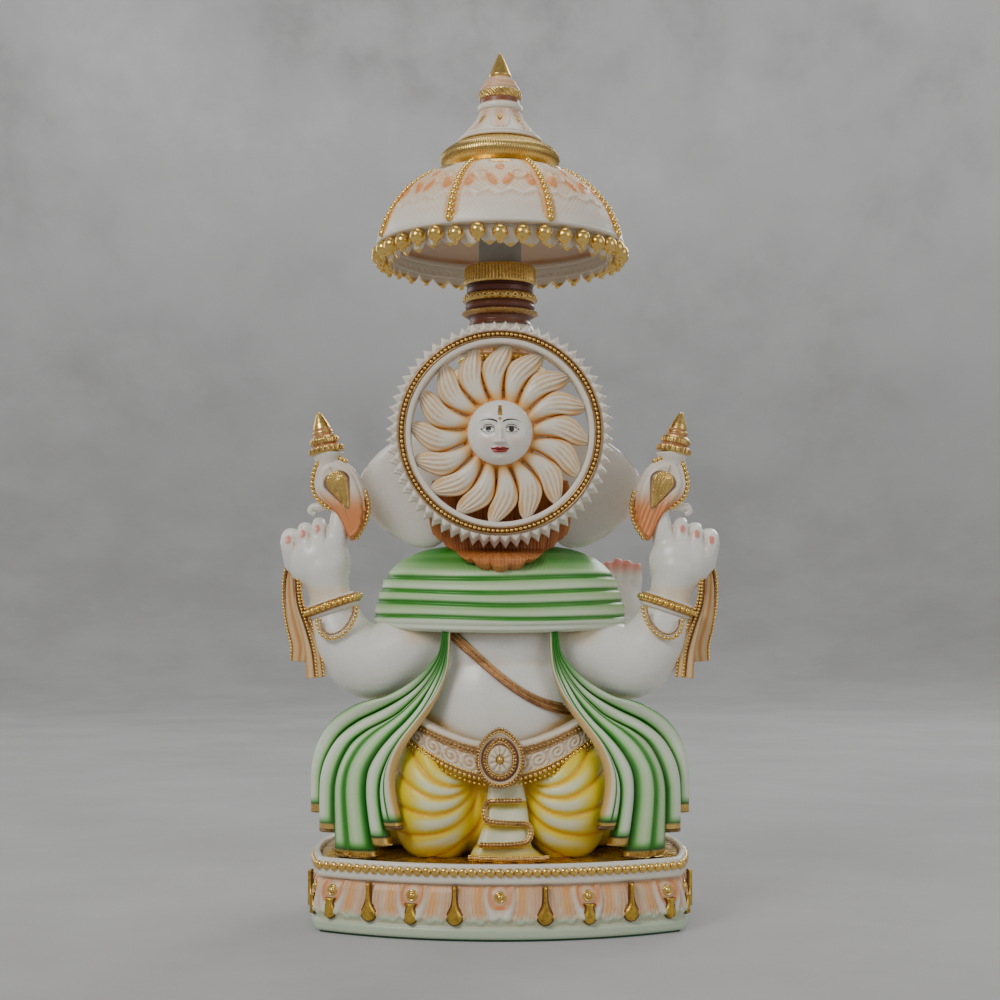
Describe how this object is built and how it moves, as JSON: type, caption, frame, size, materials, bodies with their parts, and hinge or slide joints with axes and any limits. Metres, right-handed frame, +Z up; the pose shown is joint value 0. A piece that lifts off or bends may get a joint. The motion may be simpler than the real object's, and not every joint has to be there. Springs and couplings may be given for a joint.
{
  "type": "ganesha idol",
  "caption": "Seated four-armed elephant-headed idol on a lotus plinth, with a pierced sun disc behind its crown and a lift-off parasol above.",
  "frame": {"origin": "on the ground under the middle of the plinth", "axes": "+Z up, +Y the way the figure faces, +X to the figure's own right hand"},
  "size_m": [0.2492, 0.168, 0.519],
  "materials": {
    "felt": "matte",
    "board": "matte",
    "marble": "satin",
    "ivory": "gloss",
    "gilt": "gloss",
    "antique_gilt": "satin",
    "yellow_cloth_paint": "satin",
    "green_cloth_paint": "satin",
    "peach_paint": "satin",
    "thread_paint": "satin",
    "hair_paint": "satin",
    "sweet_paint": "satin",
    "post_grey": "matte",
    "steel": "satin"
  },
  "bodies": {
    "idol": {"felt_pad": "felt", "base_board": "board", "plinth": "marble", "rim_bead_row": "gilt", "petal_studs": "gilt", "petal_drops": "gilt", "lower_body": "yellow_cloth_paint", "torso": "marble", "shawl": "green_cloth_paint", "sash_left": "green_cloth_paint", "sash_right": "green_cloth_paint", "sacred_thread": "thread_paint", "waist_belt": "antique_gilt", "belt_medallion": "antique_gilt", "necklace": "gilt", "head": "marble", "trunk": "marble", "tusk_left": "ivory", "tusk_right": "ivory", "ear_left": "marble", "ear_right": "marble", "hair_bun": "hair_paint", "crown": "gilt", "crown_stem": "antique_gilt", "rear_arm_left": "marble", "rear_arm_right": "marble", "front_arm_left": "marble", "front_arm_right": "marble", "modak": "sweet_paint", "bangle_left": "gilt", "bangle_right": "gilt", "bangle_loop_left": "gilt", "bangle_loop_right": "gilt", "ribbon_left": "peach_paint", "ribbon_right": "peach_paint", "emblem_left": "peach_paint", "emblem_right": "peach_paint", "emblem_tip_left": "gilt", "emblem_tip_right": "gilt", "neck_dowel": "steel", "arm_dowels": "steel", "disc_hub": "marble", "disc_ring": "marble", "disc_front_plate": "marble", "disc_bead_ring": "gilt", "sun_petals": "marble", "sun_face": "marble"},
    "post": {"parasol_post": "post_grey"},
    "parasol": {"canopy": "marble", "canopy_valance": "marble", "rim_beads": "gilt", "rib_beads": "gilt", "canopy_collar": "gilt", "canopy_spire": "peach_paint", "canopy_tip": "gilt"}
  },
  "joints": [
    {"name": "parasol_lift", "type": "slide", "parent": "idol", "child": "post", "axis": [0, 0, 1], "range_m": [0, 0.04]},
    {"name": "parasol_turn", "type": "hinge", "parent": "post", "child": "parasol", "pos_m": [0, 0, 0.428], "axis": [0, 0, 1], "continuous": true}
  ]
}
